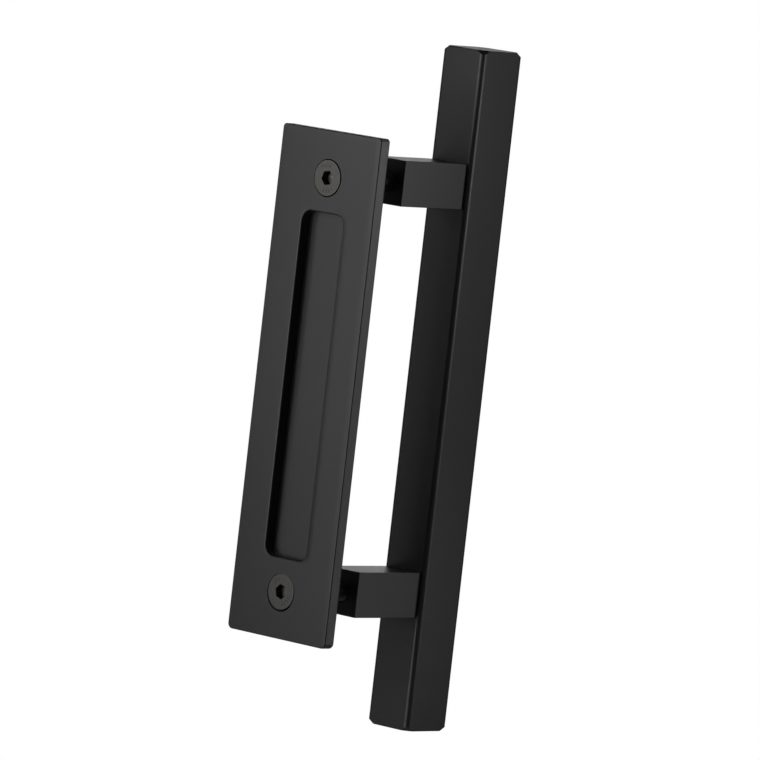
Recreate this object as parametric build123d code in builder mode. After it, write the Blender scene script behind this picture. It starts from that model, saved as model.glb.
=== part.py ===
from build123d import *
import os

# A two-sided handle for a sliding door, in millimetres.
# +Z runs up along the bar and +Y runs through the door, from the flush plate to the pull bar.
# The origin is the middle of the plate's back face, where the plate lies on the door.

# Pull bar: a square bar with rolled edges, faced and turned at both ends
bar_side = 25.0
bar_length = 300.0
bar_edge_radius = 2.25
bar_corner_cut = 1.85
bar_end_chamfer = 0.4

# Posts: short square blocks between the door and the bar
post_side = 20.0
post_length = 38.0
post_spacing = 180.0
post_edge_chamfer = 0.15

# The door, which is not part of the set, fills the gap between plate and posts
door_gap = 31.0

# Flush plate
plate_width = 60.0
plate_thickness = 6.0
plate_end_margin = 20.5
plate_corner_radius = 1.6
plate_front_edge_radius = 0.5
plate_back_edge_radius = 1.2

# Finger pocket milled in the plate
pocket_width = 26.0
pocket_depth = 4.8
pocket_to_screw = 14.5
pocket_corner_radius = 4.8
pocket_rim_radius = 0.4

# M8 countersunk door screws with a hexagon socket
screw_radius = 4.0
screw_grip = 18.2
screw_tip_chamfer = 0.7
screw_hole_clearance = 0.5
head_radius = 7.85
head_land = 0.15
head_recess = 0.05
head_rim_radius = 0.1
socket_across_flats = 6.0
socket_depth = 3.9
socket_floor_cone = 0.6
socket_mouth_chamfer = 0.25
upper_socket_turn = 12.0
lower_socket_turn = 43.0

# M8 studs that hold the posts on the bar, with a hexagon socket at the post's end
stud_radius = 4.0
stud_grip = 14.0
stud_end_chamfer = 0.7
stud_socket_across_flats = 4.0
stud_socket_depth = 4.5

# Tapped holes
tapped_hole_spare_depth = 1.5
tapped_hole_mouth = 0.45
drill_tip_height = 2.3

# Places worked out from the sizes above
plate_length = post_spacing + 2 * plate_end_margin
pocket_length = post_spacing - 2 * pocket_to_screw
plate_front_y = -plate_thickness
post_start_y = door_gap
bar_back_y = post_start_y + post_length
bar_axis_y = bar_back_y + bar_side / 2

head_top_y = plate_front_y + head_recess
head_cone_y = head_top_y + head_land
head_cone_end_y = head_cone_y + head_radius - screw_radius
screw_tip_y = post_start_y + screw_grip
sink_radius = head_radius + head_recess + head_land
tapped_depth = stud_grip + tapped_hole_spare_depth
bar_corner_reach = (bar_side / 2 - bar_edge_radius) * 2**0.5 + bar_edge_radius

# The two fixing points, with the turn of each door screw's socket
fixings = {
    "upper": (post_spacing / 2, upper_socket_turn),
    "lower": (-post_spacing / 2, lower_socket_turn),
}


def across(y, z=0.0):
    """A plane across the door at depth y, looking along +Y, with +X to its right."""
    return Plane(origin=(0, y, z), x_dir=(1, 0, 0), z_dir=(0, 1, 0))


def outward(y, z=0.0):
    """The same place seen from the room: its holes run along +Y."""
    return Plane(origin=(0, y, z), x_dir=(1, 0, 0), z_dir=(0, -1, 0))


def screw_axis(z):
    """The line of one door screw, post and stud."""
    return Axis((0, 0, z), (0, 1, 0))


os.makedirs("parts", exist_ok=True)


# Flush plate: a rounded slab with a blind milled pocket and two countersunk holes
with BuildPart() as flush_plate:
    with BuildSketch(across(plate_front_y)):
        RectangleRounded(plate_width, plate_length, plate_corner_radius)
    extrude(amount=plate_thickness)
    fillet(flush_plate.edges().group_by(Axis.Y)[0], plate_front_edge_radius)
    fillet(flush_plate.edges().group_by(Axis.Y)[-1], plate_back_edge_radius)
    with BuildSketch(across(plate_front_y)):
        RectangleRounded(pocket_width, pocket_length, pocket_corner_radius)
    extrude(amount=pocket_depth, mode=Mode.SUBTRACT)
    pocket_rim = flush_plate.faces().sort_by(Axis.Y)[0].inner_wires()[0]
    fillet(pocket_rim.edges(), pocket_rim_radius)
    with Locations(outward(plate_front_y)):
        with GridLocations(0, post_spacing, 1, 2):
            CounterSinkHole(
                radius=screw_radius + screw_hole_clearance,
                counter_sink_radius=sink_radius,
                counter_sink_angle=90,
            )
flush_plate.part.label = "flush_plate"
export_step(flush_plate.part, "parts/flush_plate.step")


# Pull bar: a rolled square, faced with a small chamfer, its corners cut by a turned cone,
# and two blind tapped holes in the side that faces the door
with BuildPart() as pull_bar:
    with BuildSketch(Plane.XY.offset(-bar_length / 2)):
        with Locations((0, bar_axis_y)):
            RectangleRounded(bar_side, bar_side, bar_edge_radius)
    extrude(amount=bar_length)
    for end_face in (Axis.Z, -Axis.Z):
        chamfer(pull_bar.faces().sort_by(end_face)[-1].edges(), bar_end_chamfer)
    with BuildSketch(Plane(origin=(0, bar_axis_y, 0), x_dir=(1, 0, 0), z_dir=(0, -1, 0))):
        with BuildLine():
            Polyline(
                (0, bar_length / 2),
                (bar_corner_reach - bar_corner_cut, bar_length / 2),
                (bar_corner_reach + bar_side, bar_length / 2 - bar_corner_cut - bar_side),
                (bar_corner_reach + bar_side, -bar_length / 2 + bar_corner_cut + bar_side),
                (bar_corner_reach - bar_corner_cut, -bar_length / 2),
                (0, -bar_length / 2),
                close=True,
            )
        make_face()
    revolve(axis=Axis((0, bar_axis_y, 0), (0, 0, 1)), mode=Mode.INTERSECT)
    for fixing_z, _ in fixings.values():
        with BuildSketch(Plane.XY.offset(fixing_z)):
            with BuildLine():
                Polyline(
                    (0, bar_back_y),
                    (stud_radius + tapped_hole_mouth, bar_back_y),
                    (stud_radius, bar_back_y + tapped_hole_mouth),
                    (stud_radius, bar_back_y + tapped_depth),
                    (0, bar_back_y + tapped_depth + drill_tip_height),
                    close=True,
                )
            make_face()
        revolve(axis=screw_axis(fixing_z), mode=Mode.SUBTRACT)
pull_bar.part.label = "pull_bar"
export_step(pull_bar.part, "parts/pull_bar.step")


for place, (fixing_z, socket_turn) in fixings.items():
    # Post: a square block tapped right through
    with BuildPart() as post:
        with BuildSketch(across(post_start_y, fixing_z)):
            Rectangle(post_side, post_side)
        extrude(amount=post_length)
        chamfer(post.edges().filter_by(Axis.Y), post_edge_chamfer)
        chamfer(post.faces().sort_by(Axis.Y)[0].edges(), post_edge_chamfer)
        with Locations(outward(post_start_y, fixing_z)):
            Hole(radius=screw_radius)
        chamfer(post.edges().filter_by(GeomType.CIRCLE), tapped_hole_mouth)
    post.part.label = f"{place}_post"
    export_step(post.part, f"parts/{place}_post.step")

    # Door screw: a flat head on a 90 degree cone, seated in the plate's countersink
    with BuildPart() as door_screw:
        with BuildSketch(Plane.XY.offset(fixing_z)):
            with BuildLine():
                Polyline(
                    (0, head_top_y),
                    (head_radius, head_top_y),
                    (head_radius, head_cone_y),
                    (screw_radius, head_cone_end_y),
                    (screw_radius, screw_tip_y - screw_tip_chamfer),
                    (screw_radius - screw_tip_chamfer, screw_tip_y),
                    (0, screw_tip_y),
                    close=True,
                )
            make_face()
        revolve(axis=screw_axis(fixing_z))
        fillet(door_screw.edges().group_by(Axis.Y)[0], head_rim_radius)
        with BuildSketch(across(head_top_y, fixing_z)):
            RegularPolygon(socket_across_flats / 2, 6, major_radius=False, rotation=-socket_turn)
        extrude(amount=socket_depth, mode=Mode.SUBTRACT)
        socket_mouth = door_screw.faces().sort_by(Axis.Y)[0].inner_wires()[0]
        chamfer(socket_mouth.edges(), socket_mouth_chamfer)
        with BuildSketch(Plane.XY.offset(fixing_z)):
            with BuildLine():
                Polyline(
                    (0, head_top_y + socket_depth),
                    (socket_across_flats / 2, head_top_y + socket_depth),
                    (0, head_top_y + socket_depth + socket_floor_cone),
                    close=True,
                )
            make_face()
        revolve(axis=screw_axis(fixing_z), mode=Mode.SUBTRACT)
    door_screw.part.label = f"{place}_door_screw"
    export_step(door_screw.part, f"parts/{place}_door_screw.step")

    # Post stud: a headless socket screw, half in the post and half in the bar
    with BuildPart() as post_stud:
        with BuildSketch(across(bar_back_y - stud_grip, fixing_z)):
            Circle(stud_radius)
        extrude(amount=2 * stud_grip)
        chamfer(post_stud.edges().filter_by(GeomType.CIRCLE), stud_end_chamfer)
        with BuildSketch(across(bar_back_y - stud_grip, fixing_z)):
            RegularPolygon(stud_socket_across_flats / 2, 6, major_radius=False)
        extrude(amount=stud_socket_depth, mode=Mode.SUBTRACT)
    post_stud.part.label = f"{place}_post_stud"
    export_step(post_stud.part, f"parts/{place}_post_stud.step")
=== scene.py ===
# Finishes a two-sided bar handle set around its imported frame.
# The handle's sizes are in millimetres here and become metres when a mesh is made.

from math import ceil, cos, pi, radians, sin, tan

import bmesh
import bpy
from bpy.props import FloatProperty, FloatVectorProperty, IntProperty, PointerProperty
from mathutils import Matrix, Vector
from mathutils.geometry import tessellate_polygon


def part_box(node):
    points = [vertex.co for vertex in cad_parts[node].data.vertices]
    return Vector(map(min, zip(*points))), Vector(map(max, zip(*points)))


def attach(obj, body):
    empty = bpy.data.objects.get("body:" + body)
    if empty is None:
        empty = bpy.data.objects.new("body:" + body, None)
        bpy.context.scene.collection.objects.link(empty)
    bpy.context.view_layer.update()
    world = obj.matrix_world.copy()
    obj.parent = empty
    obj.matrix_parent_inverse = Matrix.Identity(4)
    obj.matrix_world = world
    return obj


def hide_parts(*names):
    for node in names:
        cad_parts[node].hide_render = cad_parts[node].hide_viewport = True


bl_info = {
    "name": "Bar Handle Set",
    "version": (1, 0, 0),
    "blender": (4, 5, 0),
    "location": "3D View > Sidebar > Handle Set",
    "description": "Dresses a two-sided bar handle set and puts it in a studio",
    "category": "Object",
}

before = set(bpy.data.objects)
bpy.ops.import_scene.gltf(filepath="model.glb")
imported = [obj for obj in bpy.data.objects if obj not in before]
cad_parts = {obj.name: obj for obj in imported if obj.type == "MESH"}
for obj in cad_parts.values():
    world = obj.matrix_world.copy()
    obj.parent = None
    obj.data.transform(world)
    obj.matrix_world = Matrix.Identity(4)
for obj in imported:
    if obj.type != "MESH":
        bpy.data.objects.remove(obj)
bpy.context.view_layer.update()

MM = 0.001
PLACES = ("upper", "lower")

# Points round a turned piece, steps round a rectangle's corner, and the largest turn from one
# step to the next round an edge
SEGMENTS = 72
CORNER_STEPS = 12
PATH_STEP = radians(7.5)

# Two points this near become one, and an edge this short is taken away
WELD = 0.002 * MM
NO_LENGTH = WELD / 10

# An edge is a crease where its two faces turn by more than this
CREASE = radians(35)

# Names of the finishes
COAT = "Powder Coat"
# The bar's finish is the same powder coat with less sheen: painted shade that darkens the bar
# against the plate
SHADED_BAR_COAT = "Bar Coat"
OXIDE = "Black Oxide"


def node_size(node):
    """Lowest corner, highest corner and size of a node of the frame, in millimetres."""
    low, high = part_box(node)
    return low / MM, high / MM, (high - low) / MM


def length(name, millimetres, description):
    """A size that a user can change, shown in Blender's length units."""
    return FloatProperty(
        name=name,
        description=description,
        default=millimetres * MM,
        unit="LENGTH",
        subtype="DISTANCE",
        precision=5,
    )


def angle(name, turn, description):
    """A turn that a user can change, given here in degrees."""
    return FloatProperty(
        name=name, description=description, default=radians(turn), unit="ROTATION", subtype="ANGLE"
    )


def share(name, value, description):
    """A plain number from 0 to 1 that a user can change."""
    return FloatProperty(
        name=name, description=description, default=value, min=0.0, max=1.0, subtype="FACTOR"
    )


def colour(name, value, description):
    """A colour that a user can change."""
    return FloatVectorProperty(
        name=name, description=description, default=value, size=3, min=0.0, max=1.0, subtype="COLOR"
    )


# Places read from the frame. Both screws lie at the same depth, and so do both studs.

plate_low, plate_high, plate_size = node_size("flush_plate")
screw_low, screw_high, screw_size = node_size("upper_door_screw")
stud_low, stud_high, stud_size = node_size("upper_post_stud")
fixing_height = {}
for place in PLACES:
    post_low, post_high, _ = node_size(f"{place}_post")
    fixing_height[place] = (post_low.z + post_high.z) / 2


# Sizes and colours that a user would change


class PlateSizes(bpy.types.PropertyGroup):
    """Sizes of the flush plate."""

    upper_corner: length("Upper corner", 1.6, "Radius of the plate's two upper corners")
    lower_corner: length("Lower corner", 2.4, "Radius of the plate's two lower corners")
    front_edge: length("Front edge", 0.55, "Radius of the edge round the front face")
    back_edge: length("Back edge", 1.2, "Radius of the edge round the back face")
    roll_width: length("Roll width", 3.5, "Width of the band where the face rolls off to an edge")
    roll_top: angle("Roll, top", 6.5, "Turn of the face at its right edge, at the top")
    roll_bottom: angle("Roll, bottom", 1.0, "Turn of the face at its right edge, at the bottom")
    rim_roll: angle("Rim roll", 9.0, "Turn of the front face at the pocket's right rim")
    pocket_width: length("Pocket width", 25.0, "Width of the finger pocket")
    pocket_length: length("Pocket length", 150.4, "Height of the finger pocket")
    pocket_down: length("Pocket, down", 0.3, "How far the pocket lies under the plate's middle")
    pocket_depth: length("Pocket depth", 5.4, "Depth of the finger pocket")
    pocket_corner: length("Pocket corner", 4.8, "Radius that the cutter leaves in the corners")
    pocket_rim: length("Pocket rim", 0.7, "Radius of the pocket's rim")
    pocket_foot: length("Pocket foot", 0.15, "Radius where the pocket's wall meets its floor")
    hole_radius: length("Hole", 4.5, "Radius of the clearance hole for a door screw")
    sink_radius: length("Countersink", 8.27, "Radius of the countersink's straight mouth")
    sink_mouth: length("Countersink's mouth", 0.6, "Depth of the countersink's straight mouth")
    hole_edge: length("Hole edge", 0.05, "Radius that the coating leaves on the holes' edges")
    upper_hole_right: length("Upper hole, right", 0.4, "How far the hole lies right of its screw")
    lower_hole_right: length("Lower hole, right", 0.1, "How far the hole lies right of its screw")
    lower_hole_down: length("Lower hole, down", 0.4, "How far the hole lies under its screw")


class ScrewSizes(bpy.types.PropertyGroup):
    """Sizes of the door screws and studs."""

    pitch: length("Pitch", 1.25, "Distance from one turn of the thread to the next")
    plain_shank: length("Plain shank", 27.0, "Length from the head's top to the thread")
    run_out: length("Run-out", 1.2, "Length over which the thread fades into the plain shank")
    head_land: length("Head land", 0.4, "Height of the straight rim under the head's top")
    head_rim: length("Head rim", 0.15, "Radius of the head's upper rim")
    cone_edge: length("Cone edge", 0.05, "Radius between the head's straight rim and its cone")
    neck: length("Neck", 0.4, "Radius between the head's cone and the shank")
    socket_flats: length("Socket", 5.85, "Width across the flats of the screw's hexagon socket")
    socket_depth: length("Socket depth", 3.7, "Depth of the screw's hexagon socket")
    socket_mouth: length("Socket mouth", 0.06, "Chamfer round the mouth of the hexagon socket")
    socket_cone: length("Socket cone", 1.5, "Depth of the drilled cone in the socket's floor")
    stud_flats: length("Stud socket", 4.0, "Width across the flats of the stud's hexagon socket")
    stud_depth: length("Stud socket depth", 4.5, "Depth of the stud's hexagon socket")
    stud_mouth: length("Stud socket mouth", 0.1, "Chamfer round the mouth of the stud's socket")
    tip_chamfer: length("Tip chamfer", 0.8, "Chamfer at the thread's ends")
    upper_turn: angle("Upper turn", 12.0, "How far the upper screw is turned")
    lower_turn: angle("Lower turn", 43.0, "How far the lower screw is turned")
    mark_radius: length("Mark radius", 5.6, "Distance of the head's dashes from its middle")
    mark_length: length("Mark length", 1.4, "Length of one dash")
    mark_width: length("Mark width", 0.35, "Width of one dash")
    mark_depth: length("Mark depth", 0.15, "Depth of one dash in the head")
    mark_step: angle("Mark step", 17.0, "Turn from one dash to the next")
    marks_in_arc: IntProperty(
        name="Dashes in an arc",
        description="Dashes in each of the head's two arcs",
        default=4,
        min=1,
    )


class FinishColours(bpy.types.PropertyGroup):
    """Colours and gloss of the powder coat and of the black oxide."""

    coat: colour("Powder coat", (0.008, 0.008, 0.0078), "Colour of the powder coat")
    coat_gloss: share("Coat roughness", 0.42, "Roughness of the powder coat")
    plate_sheen: share("Plate sheen", 0.5, "How much light the plate's and posts' coat throws back")
    # The bar's lower sheen is painted shade that darkens it against the plate, on the same powder
    # coat
    bar_shade_sheen: share("Bar sheen, painted shade", 0.43, "How much light the bar's coat throws back")
    oxide: colour("Black oxide", (0.076, 0.075, 0.07), "Colour of the black oxide on the screws")
    oxide_gloss: share("Oxide roughness", 0.42, "Roughness of the black oxide")


class StudioSizes(bpy.types.PropertyGroup):
    """Camera, floor and room."""

    azimuth: angle("Azimuth", 44.178, "Camera's turn round the object, from straight in front")
    elevation: angle("Elevation", 4.751, "Camera's height over the horizon")
    roll: angle("Roll", 6.438, "How far the object leans to the right in the picture")
    distance: length("Distance", 3663.56, "Distance from the camera to the point that it looks at")
    target: FloatVectorProperty(
        name="Target",
        description="Point that the camera looks at",
        default=(0.00531, 0.035, 0.00379),
        size=3,
        unit="LENGTH",
        subtype="TRANSLATION",
        precision=5,
    )
    lens: FloatProperty(name="Lens", description="Focal length in millimetres", default=400.05)
    floor_drop: length("Floor", 400.0, "Depth of the floor under the middle of the plate")
    floor: colour("Floor colour", (0.82, 0.82, 0.82), "Colour of the floor")
    surround: share("Surround", 0.06, "Brightness of the dim room that the gloss reflects")


# Outlines and paths that the turned and milled pieces are made from


def rounded_outline(width, height, upper_radius, lower_radius, middle=0.0):
    """Returns outline(grow): points and outward directions round a rounded rectangle."""

    def outline(grow):
        points = []
        for quarter, (side, up) in enumerate(((1, 1), (-1, 1), (-1, -1), (1, -1))):
            radius = upper_radius if up > 0 else lower_radius
            # A shrunken corner stays round
            corner = max(radius + grow, radius / 4)
            half_width = width / 2 + grow - corner
            half_height = height / 2 + grow - corner
            for step in range(CORNER_STEPS + 1):
                turn = (quarter + step / CORNER_STEPS) * pi / 2
                out = (cos(turn), sin(turn))
                centre = (side * half_width, middle + up * half_height)
                points.append((centre[0] + corner * out[0], centre[1] + corner * out[1], *out))
        return points

    return outline


def circle_outline(radius, centre, turn=0.0):
    """Returns outline(grow): points and outward directions round a circle."""

    def outline(grow):
        points = []
        for step in range(SEGMENTS):
            at = turn + step / SEGMENTS * 2 * pi
            out = (cos(at), sin(at))
            reach = radius + grow
            points.append((centre[0] + out[0] * reach, centre[1] + out[1] * reach, *out))
        return points

    return outline


def hexagon_outline(flats, centre, turn=0.0):
    """Returns outline(grow): points round a hexagon, with a corner at the turn."""

    def outline(grow):
        points = []
        for step in range(SEGMENTS):
            at = step / SEGMENTS * 2 * pi
            from_flat = at % (pi / 3) - pi / 6
            reach = (flats / 2 + grow) / cos(from_flat)
            out = (cos(turn + at), sin(turn + at))
            points.append((centre[0] + out[0] * reach, centre[1] + out[1] * reach, *out))
        return points

    return outline


def right_of(heading):
    """The direction to the right of a heading."""
    return Vector((heading.y, -heading.x))


def rounded_path(corners):
    """Rounds a path's corners, each given as (out, y, radius).

    Returns (out, y, out direction, y direction), with the direction to the path's right.
    """
    path = []

    def add(at, heading):
        path.append((*at, *right_of(heading)))

    places = [Vector(corner[:2]) for corner in corners]
    headings = [(b - a).normalized() for a, b in zip(places, places[1:])]
    add(places[0], headings[0])
    for place, corner, before, after in zip(places[1:], corners[1:], headings, headings[1:]):
        turn = before.angle_signed(after)
        radius = corner[2] if turn > 0 else -corner[2]
        cut = corner[2] * tan(abs(turn) / 2)
        centre = place - before * cut + right_of(before) * radius
        count = max(2, ceil(abs(turn) / PATH_STEP))
        for step in range(count + 1):
            heading = before.copy()
            heading.rotate(Matrix.Rotation(-turn * step / count, 2))
            add(centre - right_of(heading) * radius, heading)
    add(places[-1], headings[-1])
    return path


class Shell:
    """Points, their outward directions and the faces of one closed piece, in millimetres."""

    def __init__(self):
        self.points = []
        self.directions = []
        self.faces = []

    def row(self, outline, out, y, way, inward=False, roll=None):
        """Adds one closed row of points at depth y, its outline grown by out.

        Where a roll is given, it says how deep and how steep the face has rolled off there.
        """
        sense = -1 if inward else 1
        first = len(self.points)
        for x, z, out_x, out_z in outline(sense * out):
            dip, slope = roll(out, y, z, out_x, out_z) if roll else (0, 0)
            outward = sense * (way[0] - slope * way[1])
            self.points.append((x, y + dip, z))
            self.directions.append((outward * out_x, way[1], outward * out_z))
        return list(range(first, len(self.points)))

    def bridge(self, one, two):
        """Joins two rows with a band of four-sided faces."""
        for i in range(len(one)):
            j = (i + 1) % len(one)
            self.faces.append((one[i], one[j], two[j], two[i]))

    def join(self, rows):
        """Joins each row to the next."""
        for one, two in zip(rows, rows[1:]):
            self.bridge(one, two)

    def sweep(self, outline, path, inward=False, roll=None):
        """Runs a path round an outline and returns its first and last rows."""
        rows = [self.row(outline, out, y, way, inward, roll) for out, y, *way in path]
        self.join(rows)
        return rows[0], rows[-1]

    def fill(self, *rows):
        """Closes the flat region inside the first row and outside the others."""
        numbers = [number for row in rows for number in row]
        outlines = [[Vector(self.points[number]) for number in row] for row in rows]
        for triangle in tessellate_polygon(outlines):
            self.faces.append(tuple(numbers[i] for i in triangle))

    def mesh(self, name):
        """Makes a mesh in metres."""
        mesh = bpy.data.meshes.new(name)
        mesh.from_pydata([[c * MM for c in point] for point in self.points], [], self.faces)
        return mesh


def face_outwards(mesh, weld=False):
    """Welds a mesh's doubles, if asked, and turns its faces outwards."""
    work = bmesh.new()
    work.from_mesh(mesh)
    if weld:
        bmesh.ops.remove_doubles(work, verts=work.verts, dist=WELD)
        bmesh.ops.dissolve_degenerate(work, dist=NO_LENGTH, edges=work.edges)
    bmesh.ops.recalc_face_normals(work, faces=work.faces)
    work.to_mesh(mesh)
    work.free()
    mesh.update()


def smooth_by_angle(mesh):
    """Shades a mesh smooth, apart from its creases."""
    mesh.shade_smooth()
    mesh.set_sharp_from_angle(angle=CREASE)


def add_piece(name, mesh, node):
    """Puts a finished mesh in the scene in place of a node of the frame."""
    piece = bpy.data.objects.new(name, mesh)
    bpy.context.scene.collection.objects.link(piece)
    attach(piece, "root")
    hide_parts(node)


# Node trees: the kinds of their inputs, and plain arithmetic on their values

FLOAT = "NodeSocketFloat"
WHOLE = "NodeSocketInt"
GEOMETRY = "NodeSocketGeometry"
MATERIAL = "NodeSocketMaterial"


class Value:
    """A number inside a node tree. Arithmetic on it adds Math nodes to the tree."""

    def __init__(self, tree, socket):
        self.tree = tree
        self.socket = socket

    def math(self, operation, *numbers):
        return math_node(self.tree, operation, self, *numbers)

    def __add__(self, other):
        return self.math("ADD", other)

    def __sub__(self, other):
        return self.math("SUBTRACT", other)

    def __mul__(self, other):
        return self.math("MULTIPLY", other)

    def __truediv__(self, other):
        return self.math("DIVIDE", other)

    def __gt__(self, other):
        return self.math("GREATER_THAN", other)


def math_node(tree, operation, *numbers):
    """Adds one Math node fed by values or plain numbers."""
    node = tree.nodes.new("ShaderNodeMath")
    node.operation = operation
    for socket, number in zip(node.inputs, numbers):
        if isinstance(number, Value):
            tree.links.new(number.socket, socket)
        else:
            socket.default_value = number
    return Value(tree, node.outputs[0])


def add_node(tree, kind, inputs=None, **settings):
    """Adds a node, sets its settings and feeds its inputs with values, sockets or constants."""
    node = tree.nodes.new(kind)
    for setting, value in settings.items():
        setattr(node, setting, value)
    for name, value in (inputs or {}).items():
        if isinstance(value, Value):
            tree.links.new(value.socket, node.inputs[name])
        elif isinstance(value, bpy.types.NodeSocket):
            tree.links.new(value, node.inputs[name])
        else:
            node.inputs[name].default_value = value
    return node


def new_tree(name, kind, inputs, outputs):
    """Makes a node group with named sockets. Returns it, its input values and its output node."""
    tree = bpy.data.node_groups.new(name, kind)
    for socket, socket_kind in inputs.items():
        tree.interface.new_socket(name=socket, in_out="INPUT", socket_type=socket_kind)
    for socket, socket_kind in outputs.items():
        tree.interface.new_socket(name=socket, in_out="OUTPUT", socket_type=socket_kind)
    given = tree.nodes.new("NodeGroupInput")
    values = {socket.name: Value(tree, socket) for socket in given.outputs if socket.name}
    return tree, values, tree.nodes.new("NodeGroupOutput")


def end_tree(tree, geometry, material, result):
    """Makes a tree's instances real, sets their material and hands the geometry out."""
    real = add_node(tree, "GeometryNodeRealizeInstances", {"Geometry": geometry})
    finished = add_node(
        tree, "GeometryNodeSetMaterial", {"Geometry": real.outputs[0], "Material": material}
    )
    tree.links.new(finished.outputs[0], result.inputs[0])


def grown_mesh(name, start, tree, inputs):
    """Runs a geometry tree on a start mesh, which it uses up, and returns the plain result."""
    carrier = bpy.data.objects.new(name, start)
    bpy.context.scene.collection.objects.link(carrier)
    modifier = carrier.modifiers.new(tree.name, "NODES")
    modifier.node_group = tree
    for socket in tree.interface.items_tree:
        if socket.in_out == "INPUT" and socket.name in inputs:
            modifier[socket.identifier] = inputs[socket.name]
    shown = carrier.evaluated_get(bpy.context.evaluated_depsgraph_get())
    mesh = bpy.data.meshes.new_from_object(shown)
    carrier.modifiers.remove(modifier)
    bpy.data.objects.remove(carrier)
    bpy.data.meshes.remove(start)
    mesh.name = name
    return mesh


# Screw thread: a helix of crests and roots that starts and ends in plain circles

# The thread's depth and the widths of its crest and flank, as shares of the pitch
THREAD_DEPTH = 0.6134
THREAD_CREST = 1 / 8
THREAD_FLANK = THREAD_DEPTH * tan(radians(30))

# A turn's rows of points: the root's end, the crest's two edges and the next root's start
ROWS_IN_TURN = 4

# Added before a number is rounded down, so that a whole number stays whole
NUDGE = 0.001

THREAD = "Screw Thread"


def thread_tree():
    """The tree that adds a thread along +Y to an open turned shell and welds the two.

    The thread is left-hand, because its heading turns from +X to +Z as it runs on.
    """
    if THREAD in bpy.data.node_groups:
        return bpy.data.node_groups[THREAD]
    tree, value, result = new_tree(
        THREAD,
        "GeometryNodeTree",
        {
            "Shell": GEOMETRY,
            "Radius": FLOAT,
            "Pitch": FLOAT,
            "Start": FLOAT,
            "End": FLOAT,
            "Start Radius": FLOAT,
            "End Radius": FLOAT,
            "Start Slope": FLOAT,
            "Height": FLOAT,
            "Turn": FLOAT,
            "Segments": WHOLE,
            "Rows": WHOLE,
            "Weld": FLOAT,
            "Material": MATERIAL,
        },
        {"Geometry": GEOMETRY},
    )
    segments = value["Segments"]
    rows = value["Rows"]
    grid = add_node(
        tree,
        "GeometryNodeMeshGrid",
        {"Size X": segments, "Size Y": rows, "Vertices X": segments + 1, "Vertices Y": rows + 1},
    )

    # The grid's columns go round the screw, and its rows go along it, tooth by tooth
    position = add_node(tree, "GeometryNodeInputPosition")
    place = add_node(tree, "ShaderNodeSeparateXYZ", {0: position.outputs[0]})
    column = Value(tree, place.outputs["X"]) + segments / 2
    row = (Value(tree, place.outputs["Y"]) + rows / 2).math("ROUND")
    tooth = (row / ROWS_IN_TURN + NUDGE).math("FLOOR")
    part = row - tooth * ROWS_IN_TURN
    past_rise = part > 0.5
    past_crest = part > 1.5
    past_fall = part > 2.5
    offset = past_rise * THREAD_FLANK + past_crest * THREAD_CREST + past_fall * THREAD_FLANK
    crest = past_rise - past_fall
    free_along = value["Start"] + (tooth + offset + column / segments - 1.0) * value["Pitch"]
    along = free_along.math("MAXIMUM", value["Start"]).math("MINIMUM", value["End"])

    # The start's cone limits the thread from inside where it narrows, and from outside where
    # it widens; the end's cone limits it from outside
    depth = value["Pitch"] * THREAD_DEPTH
    cut = value["Radius"] - depth + depth * crest
    start_limit = value["Start Radius"] + (along - value["Start"]) * value["Start Slope"]
    end_limit = value["End Radius"] + value["End"] - along
    falling = math_node(tree, "LESS_THAN", value["Start Slope"], 0.0)
    run_out = cut.math("MAXIMUM", start_limit)
    lead_in = cut.math("MINIMUM", start_limit)
    started = lead_in + (run_out - lead_in) * falling
    radius = started.math("MINIMUM", end_limit)
    heading = value["Turn"] + column / segments * (2 * pi)
    wound = add_node(
        tree,
        "ShaderNodeCombineXYZ",
        {
            "X": radius * heading.math("COSINE"),
            "Y": along,
            "Z": value["Height"] + radius * heading.math("SINE"),
        },
    )
    helix = add_node(
        tree,
        "GeometryNodeSetPosition",
        {"Geometry": grid.outputs["Mesh"], "Position": wound.outputs[0]},
    )
    joined = add_node(tree, "GeometryNodeJoinGeometry")
    tree.links.new(helix.outputs[0], joined.inputs[0])
    tree.links.new(value["Shell"].socket, joined.inputs[0])
    welded = add_node(
        tree,
        "GeometryNodeMergeByDistance",
        {"Geometry": joined.outputs[0], "Distance": value["Weld"]},
    )
    end_tree(tree, welded.outputs[0], value["Material"], result)
    return tree


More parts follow.
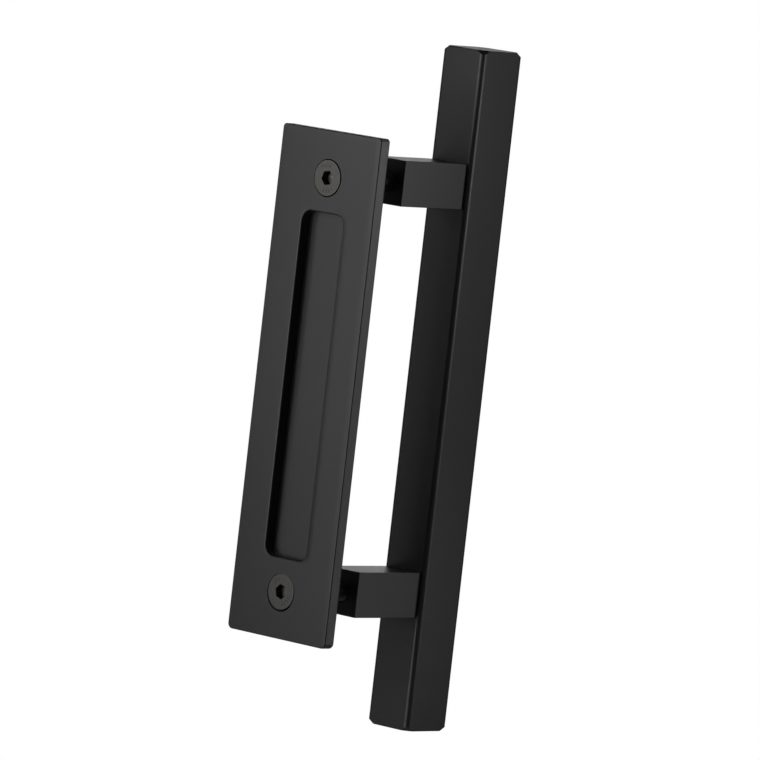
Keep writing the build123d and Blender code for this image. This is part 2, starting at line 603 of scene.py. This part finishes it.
def marks_tree():
    """A tree that stamps short radial dashes in two arcs into a screw's head."""
    tree, value, result = new_tree(
        "Head Dashes",
        "GeometryNodeTree",
        {
            "Screw": GEOMETRY,
            "In Arc": WHOLE,
            "Radius": FLOAT,
            "Step": FLOAT,
            "Turn": FLOAT,
            "Length": FLOAT,
            "Width": FLOAT,
            "Depth": FLOAT,
            "Head": FLOAT,
            "Height": FLOAT,
            "Material": MATERIAL,
        },
        {"Geometry": GEOMETRY},
    )

    # The two arcs lie opposite each other, a quarter turn from a corner of the socket
    index = Value(tree, add_node(tree, "GeometryNodeInputIndex").outputs[0])
    arc = (index / value["In Arc"] + NUDGE).math("FLOOR")
    in_arc = index - arc * value["In Arc"] - (value["In Arc"] - 1.0) / 2
    heading = value["Turn"] + arc * pi + in_arc * value["Step"] + pi / 2
    place = add_node(
        tree,
        "ShaderNodeCombineXYZ",
        {
            "X": value["Radius"] * heading.math("COSINE"),
            "Y": value["Head"],
            "Z": value["Height"] + value["Radius"] * heading.math("SINE"),
        },
    )
    points = add_node(
        tree,
        "GeometryNodePoints",
        {"Count": value["In Arc"] * 2, "Position": place.outputs[0]},
    )
    size = add_node(
        tree,
        "ShaderNodeCombineXYZ",
        {"X": value["Length"], "Y": value["Depth"] * 2, "Z": value["Width"]},
    )
    dash = add_node(tree, "GeometryNodeMeshCube", {"Size": size.outputs[0]})
    turned = add_node(tree, "ShaderNodeCombineXYZ", {"Y": heading * -1.0})
    laid = add_node(
        tree,
        "GeometryNodeInstanceOnPoints",
        {
            "Points": points.outputs[0],
            "Instance": dash.outputs[0],
            "Rotation": turned.outputs[0],
        },
    )
    dashes = add_node(tree, "GeometryNodeRealizeInstances", {"Geometry": laid.outputs[0]})
    stamped = add_node(
        tree,
        "GeometryNodeMeshBoolean",
        {"Mesh 1": value["Screw"], "Mesh 2": dashes.outputs[0]},
        operation="DIFFERENCE",
        solver="EXACT",
    )
    end_tree(tree, stamped.outputs[0], value["Material"], result)
    return tree


# Finishes

# Broad faint patches in a metre of the surface, and how far the roughness strays to each side
PATCHES = 18.0
GLOSS_SPREAD = 0.08


def grain_group():
    """Surface grain that the powder coat and the black oxide share, in real size."""
    tree, value, result = new_tree(
        "Surface Grain",
        "ShaderNodeTree",
        {"Fine Size": FLOAT, "Peel Size": FLOAT, "Peel Share": FLOAT},
        {"Height": FLOAT, "Tone": FLOAT},
    )
    position = add_node(tree, "ShaderNodeTexCoord").outputs["Object"]

    def noise(scale, detail):
        node = add_node(
            tree, "ShaderNodeTexNoise", {"Vector": position, "Scale": scale, "Detail": detail}
        )
        return Value(tree, node.outputs["Fac"])

    fine = noise(scale=math_node(tree, "DIVIDE", 1.0, value["Fine Size"]), detail=2.0)
    peel = noise(scale=math_node(tree, "DIVIDE", 1.0, value["Peel Size"]), detail=1.0)
    patches = noise(scale=PATCHES, detail=3.0)
    height = fine + (peel - fine) * value["Peel Share"]
    tone = (patches + peel) / 2
    tree.links.new(height.socket, result.inputs["Height"])
    tree.links.new(tone.socket, result.inputs["Tone"])
    return tree


def finish_material(name, grain, tint, roughness, sheen, metallic, sizes, depth, spread):
    """A satin finish whose colour, gloss and surface vary by the shared grain group.

    The sizes are the grain group's inputs. Depth is the bumps' height in metres, and spread
    is how much the colour varies to each side.
    """
    material = bpy.data.materials.new(name)
    material.use_nodes = True
    tree = material.node_tree
    shader = tree.nodes["Principled BSDF"]
    shader.inputs["Metallic"].default_value = metallic
    shader.inputs["IOR"].default_value = 1.5
    shader.inputs["Specular IOR Level"].default_value = sheen
    group = add_node(tree, "ShaderNodeGroup", sizes, node_tree=grain)
    tone = group.outputs["Tone"]
    light = [min(1.0, c * (1 + spread)) for c in tint]
    dark = [c * (1 - spread) for c in tint]

    # The Mix node's colours are its inputs 6 and 7, and the mixed colour is its output 2
    shade = add_node(
        tree,
        "ShaderNodeMix",
        {"Factor": tone, 6: (*dark, 1.0), 7: (*light, 1.0)},
        data_type="RGBA",
    )
    tree.links.new(shade.outputs[2], shader.inputs["Base Color"])
    gloss = add_node(
        tree,
        "ShaderNodeMapRange",
        {"Value": tone, "To Min": roughness - GLOSS_SPREAD, "To Max": roughness + GLOSS_SPREAD},
    )
    tree.links.new(gloss.outputs[0], shader.inputs["Roughness"])
    bump = add_node(
        tree,
        "ShaderNodeBump",
        {"Height": group.outputs["Height"], "Strength": 1.0, "Distance": depth},
    )
    tree.links.new(bump.outputs[0], shader.inputs["Normal"])


class HANDLE_OT_finishes(bpy.types.Operator):
    """Makes the powder coat, a darker copy of it that paints shade on the bar, and the black oxide
    """

    bl_idname = "handle.finishes"
    bl_label = "Finishes"

    def execute(self, context):
        look = context.scene.handle_finish
        grain = grain_group()
        # The bar's copy differs from the plate's coat only in its lower sheen, which paints shade
        # on the bar
        for name, sheen in ((COAT, look.plate_sheen), (SHADED_BAR_COAT, look.bar_shade_sheen)):
            finish_material(
                name,
                grain,
                tint=look.coat,
                roughness=look.coat_gloss,
                sheen=sheen,
                metallic=0.0,
                sizes={"Fine Size": 0.35 * MM, "Peel Size": 1.6 * MM, "Peel Share": 0.5},
                depth=0.012 * MM,
                spread=0.12,
            )
        finish_material(
            OXIDE,
            grain,
            tint=look.oxide,
            roughness=look.oxide_gloss,
            sheen=0.5,
            metallic=1.0,
            sizes={"Fine Size": 0.25 * MM, "Peel Size": 1.1 * MM, "Peel Share": 0.35},
            depth=0.01 * MM,
            spread=0.15,
        )
        return {"FINISHED"}


# Pieces

# Rows over the band where the front face rolls off, and how far past its edge, in
# millimetres, a point still counts as on the face
ROLL_STEPS = 5
ON_FACE = 0.01

# How a roll's turn is shared out: what the left side and the bottom get of it, what the right
# side gets besides, and what the top gets besides
OUTER_SHARES = (0.3, 0.7, 0.3)
RIM_SHARES = (0.1, 0.9, 0.4)

# Where a path begins or ends on a flat face, as a number of radii past the rounded edge
PAST_EDGE = 2
PAST_SINK = 3
PAST_HEAD_RIM = 6


class HANDLE_OT_flush_plate(bpy.types.Operator):
    """Mills the flush plate, with its finger pocket, countersunk holes and rolled face"""

    bl_idname = "handle.flush_plate"
    bl_label = "Flush plate"

    def execute(self, context):
        sizes = context.scene.handle_plate
        shell = Shell()
        front_row, back_row = self.outside(shell, sizes)
        rim_row, floor_row = self.pocket(shell, sizes)
        shell.fill(floor_row)
        upper_front, upper_back = self.hole(
            shell, sizes, sizes.upper_hole_right / MM, fixing_height["upper"]
        )
        lower_front, lower_back = self.hole(
            shell,
            sizes,
            sizes.lower_hole_right / MM,
            fixing_height["lower"] - sizes.lower_hole_down / MM,
        )
        shell.fill(front_row, rim_row, upper_front, lower_front)
        shell.fill(back_row, upper_back, lower_back)
        mesh = shell.mesh("flush_plate_milled")
        face_outwards(mesh)
        mesh.shade_smooth()
        mesh.normals_split_custom_set_from_vertices(
            [Vector(way).normalized() for way in shell.directions]
        )
        mesh.materials.append(bpy.data.materials[COAT])
        add_piece("flush_plate_milled", mesh, "flush_plate")
        return {"FINISHED"}

    def outside(self, shell, sizes):
        """The plate's outer side, from its rolled face to its back."""
        back = plate_high.y
        front_edge = sizes.front_edge / MM
        back_edge = sizes.back_edge / MM
        outline = rounded_outline(
            plate_size.x, plate_size.z, sizes.upper_corner / MM, sizes.lower_corner / MM
        )
        path = self.face_and_wall(
            sizes, front_edge, [(0, back, back_edge), (-PAST_EDGE * back_edge, back, 0)]
        )
        roll = self.face_roll(sizes, front_edge, sizes.roll_top, sizes.roll_bottom, OUTER_SHARES)
        return shell.sweep(outline, path, roll=roll)

    def pocket(self, shell, sizes):
        """The finger pocket's rim and wall, down to its floor."""
        floor = plate_low.y + sizes.pocket_depth / MM
        corner = sizes.pocket_corner / MM
        rim = sizes.pocket_rim / MM
        foot = sizes.pocket_foot / MM
        outline = rounded_outline(
            sizes.pocket_width / MM,
            sizes.pocket_length / MM,
            corner,
            corner,
            -sizes.pocket_down / MM,
        )
        path = self.face_and_wall(sizes, rim, [(0, floor, foot), (PAST_EDGE * foot, floor, 0)])
        roll = self.face_roll(sizes, rim, sizes.rim_roll, sizes.rim_roll, RIM_SHARES)
        return shell.sweep(outline, path, inward=True, roll=roll)

    def hole(self, shell, sizes, x, z):
        """One countersunk hole, from the front face to the back."""
        front = plate_low.y
        back = plate_high.y
        narrow = sizes.hole_radius / MM
        wide = sizes.sink_radius / MM
        mouth = front + sizes.sink_mouth / MM
        edge = sizes.hole_edge / MM
        path = rounded_path(
            [
                (-wide - PAST_SINK * edge, front, 0),
                (-wide, front, edge),
                (-wide, mouth, edge),
                (-narrow, mouth + wide - narrow, edge),
                (-narrow, back, edge),
                (-narrow - PAST_EDGE * edge, back, 0),
            ]
        )
        return shell.sweep(circle_outline(0, (x, z)), path, inward=True)

    def face_and_wall(self, sizes, edge, rest):
        """A path over the rolled band of the front face, round an edge and on through the rest."""
        front = plate_low.y
        width = sizes.roll_width / MM
        band = [
            (-width + (width - edge) * step / ROLL_STEPS, front, 0, -1)
            for step in range(ROLL_STEPS)
        ]
        return band + rounded_path([(-edge - width, front, 0), (0, front, edge), *rest])[1:]

    def face_roll(self, sizes, edge, turn_top, turn_bottom, shares):
        """Returns roll(out, y, z, out_x, out_z): depth and slope of the front face near an edge."""
        width = sizes.roll_width / MM
        least, right, top = shares

        def roll(out, y, z, out_x, out_z):
            if y > plate_low.y + edge + ON_FACE:
                return 0, 0
            part = max(0.0, min(1.0, 1 + out / width))
            share_here = least + right * max(out_x, 0) ** 2 + top * max(out_z, 0) ** 2
            height = z / plate_size.z + 0.5
            turn = turn_bottom + (turn_top - turn_bottom) * height
            steepest = tan(turn) * min(share_here, 1.0)
            return steepest * width * part**2 / 2, steepest * part

        return roll


class HANDLE_OT_pull_bar(bpy.types.Operator):
    """Gives the posts their powder coat, and the pull bar a darker copy of it as painted shade"""

    bl_idname = "handle.pull_bar"
    bl_label = "Pull bar and posts"

    def execute(self, context):
        coats = {"pull_bar": SHADED_BAR_COAT, "upper_post": COAT, "lower_post": COAT}
        for node, coat in coats.items():
            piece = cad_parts[node]
            piece.data.materials.clear()
            piece.data.materials.append(bpy.data.materials[coat])
        return {"FINISHED"}


class HANDLE_OT_door_screws(bpy.types.Operator):
    """Turns the door screws, with their thread, hexagon socket and the dashes on their heads"""

    bl_idname = "handle.door_screws"
    bl_label = "Door screws"

    def execute(self, context):
        sizes = context.scene.handle_screws
        turns = {"upper": sizes.upper_turn, "lower": sizes.lower_turn}
        dashes = marks_tree()
        for place in PLACES:
            name = f"{place}_screw_threaded"
            mesh = grown_mesh(
                name,
                self.screw(sizes, name, fixing_height[place], turns[place]),
                dashes,
                {
                    "In Arc": sizes.marks_in_arc,
                    "Radius": sizes.mark_radius,
                    "Step": sizes.mark_step,
                    "Turn": turns[place],
                    "Length": sizes.mark_length,
                    "Width": sizes.mark_width,
                    "Depth": sizes.mark_depth,
                    "Head": screw_low.y * MM,
                    "Height": fixing_height[place] * MM,
                    "Material": bpy.data.materials[OXIDE],
                },
            )
            smooth_by_angle(mesh)
            add_piece(name, mesh, f"{place}_door_screw")
        return {"FINISHED"}

    def screw(self, sizes, name, height, turn):
        """One screw: a turned shell, open where its thread goes, and the thread welded in."""
        shell = Shell()
        top = screw_low.y
        head = screw_size.x / 2
        shank = stud_size.x / 2
        land = sizes.head_land / MM
        rim = sizes.head_rim / MM
        thread_start = top + sizes.plain_shank / MM
        rows = socket_rows(
            shell,
            sizes,
            top,
            height,
            turn,
            flats=sizes.socket_flats / MM,
            depth=sizes.socket_depth / MM,
            mouth=sizes.socket_mouth / MM,
        )
        profile = rounded_path(
            [
                (head - PAST_HEAD_RIM * rim, top, 0),
                (head, top, rim),
                (head, top + land, sizes.cone_edge / MM),
                (shank, top + land + head - shank, sizes.neck / MM),
                (shank, thread_start, 0),
            ]
        )
        circle = circle_outline(0, (0, height), turn)
        rows += [shell.row(circle, out, y, way) for out, y, *way in profile]
        shell.join(rows)
        return threaded(
            shell, sizes, name, thread_start, screw_high.y, height, turn, after_shank=True
        )


# The innermost row of a socket's cone, as a share of the socket's radius
CONE_TIP = 0.1


def socket_rows(shell, sizes, top, height, turn, flats, depth, mouth):
    """Rows of a hexagon socket, from the drilled cone in its floor to its mouth."""
    cone = sizes.socket_cone / MM
    circle = circle_outline(0, (0, height), turn)
    hexagon = hexagon_outline(flats, (0, height), turn)
    rows = [
        shell.row(circle, flats / 2 * CONE_TIP, top + depth + cone * (1 - CONE_TIP), (0, -1)),
        shell.row(circle, flats / 2, top + depth, (0, -1)),
        shell.row(hexagon, 0, top + depth, (-1, 0)),
        shell.row(hexagon, 0, top + mouth, (-1, 0)),
        shell.row(hexagon, mouth, top, (-1, -1)),
    ]
    shell.faces.append(tuple(rows[0]))
    return rows


def threaded(shell, sizes, name, start, end, height, turn, after_shank):
    """Closes a shell with a thread from start to end.

    After a plain shank the thread deepens over the run-out. Elsewhere it starts at a chamfer.
    """
    pitch = sizes.pitch / MM
    shank = stud_size.x / 2
    tip = shank - sizes.tip_chamfer / MM
    last_row = shell.row(circle_outline(tip, (0, height), turn), 0, end, (0, 1))
    shell.faces.append(tuple(last_row))

    # One turn more than the length needs at each end, so that the helix covers all of it
    turns = ceil((end - start) / pitch) + 2
    mesh = grown_mesh(
        name,
        shell.mesh(name),
        thread_tree(),
        {
            "Radius": shank * MM,
            "Pitch": sizes.pitch,
            "Start": start * MM,
            "End": end * MM,
            "Start Radius": (shank if after_shank else tip) * MM,
            "End Radius": tip * MM,
            "Start Slope": -THREAD_DEPTH * sizes.pitch / sizes.run_out if after_shank else 1.0,
            "Height": height * MM,
            "Turn": turn,
            "Segments": SEGMENTS,
            "Rows": turns * ROWS_IN_TURN,
            "Weld": WELD,
            "Material": bpy.data.materials[OXIDE],
        },
    )
    face_outwards(mesh, weld=True)
    return mesh


class HANDLE_OT_post_studs(bpy.types.Operator):
    """Turns the headless socket screws that hold the posts on the bar"""

    bl_idname = "handle.post_studs"
    bl_label = "Post studs"

    def execute(self, context):
        sizes = context.scene.handle_screws
        start = stud_low.y
        tip = stud_size.x / 2 - sizes.tip_chamfer / MM
        for place in PLACES:
            name = f"{place}_stud_threaded"
            height = fixing_height[place]
            shell = Shell()
            rows = socket_rows(
                shell,
                sizes,
                start,
                height,
                0,
                flats=sizes.stud_flats / MM,
                depth=sizes.stud_depth / MM,
                mouth=sizes.stud_mouth / MM,
            )
            rows.append(shell.row(circle_outline(tip, (0, height)), 0, start, (0, -1)))
            shell.join(rows)
            mesh = threaded(shell, sizes, name, start, stud_high.y, height, 0, after_shank=False)
            smooth_by_angle(mesh)
            add_piece(name, mesh, f"{place}_post_stud")
        return {"FINISHED"}


# Studio

# Soft boxes: name, azimuth and elevation in degrees, distance, width and height in metres, and
# brightness, where 1 is as bright as a white room
SOFT_BOXES = (
    ("near_left", -18.0, 6.0, 0.30, 0.052, 0.16, 2.14),
    ("near_side", -38.0, 6.0, 0.30, 0.052, 0.16, 1.67),
    ("near_high", -24.0, 32.0, 0.30, 0.10, 0.09, 4.0),
    ("near_side_high", -42.0, 30.0, 0.32, 0.08, 0.08, 1.21),
    ("near_low", -24.0, -19.0, 0.30, 0.10, 0.09, 1.21),
    ("front", 12.0, 8.0, 0.5, 0.12, 0.12, 2.79),
    ("far_left", -10.0, 6.0, 1.5, 0.44, 0.60, 3.26),
    ("far_low", -16.0, -19.0, 1.5, 0.60, 0.60, 9.77),
    ("right", 115.0, 15.0, 0.35, 0.084, 0.084, 11.3),
    ("right_high", 126.0, 28.0, 0.35, 0.084, 0.10, 2.23),
    ("right_middle", 116.0, 0.0, 0.35, 0.084, 0.084, 3.35),
    ("right_low", 128.0, -22.0, 0.35, 0.084, 0.168, 1.95),
    ("back", 224.0, 10.0, 1.6, 1.2, 0.35, 1.8),
    ("back_high", 165.0, 40.0, 0.6, 0.20, 0.20, 2.0),
    ("left_low", -130.0, -16.0, 1.2, 0.60, 0.40, 3.0),
)

# Half the width of the floor, and how far the camera sees, in metres
FLOOR_REACH = 30.0
VIEW_REACH = 200.0


def direction(azimuth, elevation):
    """Unit vector from the object to a place that is seen at that azimuth and elevation."""
    level = cos(elevation)
    return Vector((sin(azimuth) * level, -cos(azimuth) * level, sin(elevation)))


class HANDLE_OT_studio(bpy.types.Operator):
    """Sets the camera, the floor, the room and the soft boxes"""

    bl_idname = "handle.studio"
    bl_label = "Studio"

    def execute(self, context):
        studio = context.scene.handle_studio
        self.camera(context.scene, studio)
        self.floor(studio)
        self.world(context.scene, studio)
        self.lamps(studio)
        context.scene.view_settings.view_transform = "Standard"
        return {"FINISHED"}

    def camera(self, scene, studio):
        """Looks at the target from the photograph's side, with the picture turned by the roll."""
        data = bpy.data.cameras.new("camera")
        data.sensor_width = 36.0
        data.lens = studio.lens
        data.clip_end = VIEW_REACH
        camera = bpy.data.objects.new("camera", data)
        scene.collection.objects.link(camera)
        back = direction(studio.azimuth, studio.elevation)
        camera.location = Vector(studio.target) + back * studio.distance
        level = (-back).to_track_quat("-Z", "Y").to_matrix()
        turned = Matrix.Rotation(studio.roll, 3, back) @ level
        camera.rotation_euler = turned.to_euler()
        scene.camera = camera

    def floor(self, studio):
        """A wide pale floor that looks plain white to the camera."""
        corners = ((-1, -1), (1, -1), (1, 1), (-1, 1))
        mesh = bpy.data.meshes.new("floor")
        mesh.from_pydata(
            [(x * FLOOR_REACH, y * FLOOR_REACH, -studio.floor_drop) for x, y in corners],
            [],
            [(0, 1, 2, 3)],
        )
        floor = bpy.data.objects.new("floor", mesh)
        bpy.context.scene.collection.objects.link(floor)
        material = bpy.data.materials.new("Floor")
        material.use_nodes = True
        tree = material.node_tree
        shader = tree.nodes["Principled BSDF"]
        shader.inputs["Base Color"].default_value = (*studio.floor, 1.0)
        shader.inputs["Roughness"].default_value = 0.9
        shader.inputs["Specular IOR Level"].default_value = 0.0
        white = add_node(tree, "ShaderNodeEmission", {"Color": (1, 1, 1, 1), "Strength": 1.0})
        rays = add_node(tree, "ShaderNodeLightPath")
        mixed = add_node(
            tree,
            "ShaderNodeMixShader",
            {0: rays.outputs["Is Camera Ray"], 1: shader.outputs[0], 2: white.outputs[0]},
        )
        tree.links.new(mixed.outputs[0], tree.nodes["Material Output"].inputs["Surface"])
        mesh.materials.append(material)

    def world(self, scene, studio):
        """White for the camera, and a dim even room for everything else."""
        world = bpy.data.worlds.new("studio")
        world.use_nodes = True
        tree = world.node_tree
        rays = add_node(tree, "ShaderNodeLightPath")
        seen = Value(tree, rays.outputs["Is Camera Ray"])
        strength = math_node(tree, "MAXIMUM", seen, studio.surround)
        tree.links.new(strength.socket, tree.nodes["Background"].inputs["Strength"])
        tree.nodes["Background"].inputs["Color"].default_value = (1, 1, 1, 1)
        scene.world = world

    def lamps(self, studio):
        """Soft boxes round the object, each aimed at the point that the camera looks at."""
        for name, azimuth, elevation, distance, width, height, brightness in SOFT_BOXES:
            data = bpy.data.lights.new(name, "AREA")
            data.shape = "RECTANGLE"
            data.size = width
            data.size_y = height
            data.energy = pi * width * height * brightness
            lamp = bpy.data.objects.new(name, data)
            bpy.context.scene.collection.objects.link(lamp)
            out = direction(radians(azimuth), radians(elevation))
            lamp.location = Vector(studio.target) + out * distance
            lamp.rotation_euler = (-out).to_track_quat("-Z", "Y").to_euler()
            lamp.visible_camera = False


class HANDLE_PT_panel(bpy.types.Panel):
    """Lists the steps that make the handle set"""

    bl_label = "Bar Handle Set"
    bl_idname = "HANDLE_PT_panel"
    bl_space_type = "VIEW_3D"
    bl_region_type = "UI"
    bl_category = "Handle Set"

    def draw(self, context):
        for operator in OPERATORS:
            self.layout.operator(operator.bl_idname)


PROPERTY_GROUPS = {
    "handle_plate": PlateSizes,
    "handle_screws": ScrewSizes,
    "handle_finish": FinishColours,
    "handle_studio": StudioSizes,
}
OPERATORS = (
    HANDLE_OT_finishes,
    HANDLE_OT_flush_plate,
    HANDLE_OT_pull_bar,
    HANDLE_OT_door_screws,
    HANDLE_OT_post_studs,
    HANDLE_OT_studio,
)


def register():
    for name, group in PROPERTY_GROUPS.items():
        bpy.utils.register_class(group)
        setattr(bpy.types.Scene, name, PointerProperty(type=group))
    for operator in OPERATORS:
        bpy.utils.register_class(operator)
    bpy.utils.register_class(HANDLE_PT_panel)


def unregister():
    bpy.utils.unregister_class(HANDLE_PT_panel)
    for operator in reversed(OPERATORS):
        bpy.utils.unregister_class(operator)
    for name, group in PROPERTY_GROUPS.items():
        delattr(bpy.types.Scene, name)
        bpy.utils.unregister_class(group)


def main():
    """Makes everything in order."""
    register()
    bpy.ops.handle.finishes()
    bpy.ops.handle.flush_plate()
    bpy.ops.handle.pull_bar()
    bpy.ops.handle.door_screws()
    bpy.ops.handle.post_studs()
    bpy.ops.handle.studio()


if __name__ == "__main__":
    main()
